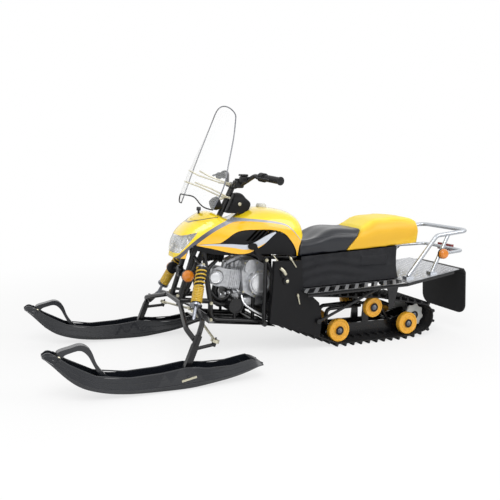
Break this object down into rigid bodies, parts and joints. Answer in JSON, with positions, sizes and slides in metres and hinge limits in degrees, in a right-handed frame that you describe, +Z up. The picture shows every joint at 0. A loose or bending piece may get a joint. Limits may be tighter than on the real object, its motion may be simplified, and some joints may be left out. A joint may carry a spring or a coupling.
{
  "type": "snowmobile",
  "caption": "Open-engined vintage snowmobile with steered skis, one rubber track, bench seat with skirt, running boards, rear rack and windshield.",
  "frame": {"origin": "middle of the length and width, on the floor", "axes": "+X ahead to the ski tips, +Y to the rider's left, +Z up"},
  "size_m": [2.448, 0.9502, 1.268],
  "materials": {
    "track_rubber": "matt",
    "wheel_yellow": "satin",
    "black_steel": "gloss",
    "bright_sheet": "satin",
    "engine_alloy": "cast",
    "body_yellow": "gloss",
    "black_plastic": "satin",
    "lens_clear": "clear",
    "shield_clear": "clear",
    "silver_tube": "satin",
    "amber_lens": "gloss",
    "black_rubber": "matt",
    "seat_cover": "satin",
    "skirt_cloth": "matt",
    "damper_steel": "satin",
    "spring_yellow": "gloss",
    "zinc_steel": "satin",
    "ski_plastic": "satin"
  },
  "bodies": {
    "machine": {"track": "track_rubber", "track_sprockets": "wheel_yellow", "track_wheels": "wheel_yellow", "skid_frame": "black_steel", "skid_arms": "black_steel", "tunnel": "bright_sheet", "chassis_frame": "black_steel", "belly_pan": "bright_sheet", "engine_block": "engine_alloy", "engine_cylinder": "engine_alloy", "carburettor": "engine_alloy", "exhaust": "black_steel", "body_cover": "body_yellow", "headlight": "lens_clear", "side_blades": "body_yellow", "side_infill": "black_plastic", "side_panels": "black_plastic", "fuel_cap": "black_plastic", "console_pod": "black_plastic", "running_boards": "bright_sheet", "rear_platform": "bright_sheet", "rack": "silver_tube", "lamps": "amber_lens", "mudflap": "black_rubber", "seat_cushion": "seat_cover", "seat_hump": "seat_cover", "seat_skirt": "skirt_cloth", "horn": "black_steel", "suspension_arms": "black_steel", "shock_bodies": "damper_steel", "shock_springs": "spring_yellow"},
    "steering": {"steering_column": "black_steel", "handlebar": "black_steel", "grips": "black_rubber", "controls": "black_plastic", "windshield": "shield_clear", "windshield_rods": "zinc_steel", "speedometer": "black_plastic"},
    "left_tie": {"tie_rod_left": "zinc_steel"},
    "right_tie": {"tie_rod_right": "zinc_steel"},
    "left_knuckle": {"spindle_left": "black_steel"},
    "right_knuckle": {"spindle_right": "black_steel"},
    "left_ski_body": {"ski_left": "ski_plastic", "ski_handle_left": "ski_plastic"},
    "right_ski_body": {"ski_right": "ski_plastic", "ski_handle_right": "ski_plastic"}
  },
  "joints": [
    {"name": "steer", "type": "hinge", "parent": "machine", "child": "steering", "pos_m": [0.302, 0, 0.728], "axis": [-0.4226, 0, 0.9063], "range_deg": [-28, 28]},
    {"name": "left_tie_turn", "type": "hinge", "parent": "steering", "child": "left_tie", "pos_m": [0.44743, 0.034, 0.23629], "axis": [-0.4226, 0, 0.9063], "range_deg": [-34, 34]},
    {"name": "right_tie_turn", "type": "hinge", "parent": "steering", "child": "right_tie", "pos_m": [0.44743, -0.034, 0.23629], "axis": [-0.4226, 0, 0.9063], "range_deg": [-34, 34]},
    {"name": "left_knuckle_turn", "type": "hinge", "parent": "machine", "child": "left_knuckle", "pos_m": [0.623, 0.417, 0.062], "axis": [-0.3665, 0, 0.9304], "range_deg": [-26, 26]},
    {"name": "right_knuckle_turn", "type": "hinge", "parent": "machine", "child": "right_knuckle", "pos_m": [0.623, -0.417, 0.062], "axis": [-0.3665, 0, 0.9304], "range_deg": [-26, 26]},
    {"name": "left_ski_pitch", "type": "hinge", "parent": "left_knuckle", "child": "left_ski_body", "pos_m": [0.623, 0.417, 0.062], "axis": [0, 1, 0], "range_deg": [-12, 10]},
    {"name": "right_ski_pitch", "type": "hinge", "parent": "right_knuckle", "child": "right_ski_body", "pos_m": [0.623, -0.417, 0.062], "axis": [0, 1, 0], "range_deg": [-12, 10]}
  ],
  "couplings": [
    {"joint": "left_tie_turn", "follows": "steer", "ratio": -1.12},
    {"joint": "right_tie_turn", "follows": "steer", "ratio": -1.12},
    {"joint": "left_knuckle_turn", "follows": "steer", "ratio": 0.84},
    {"joint": "right_knuckle_turn", "follows": "steer", "ratio": 0.84}
  ]
}
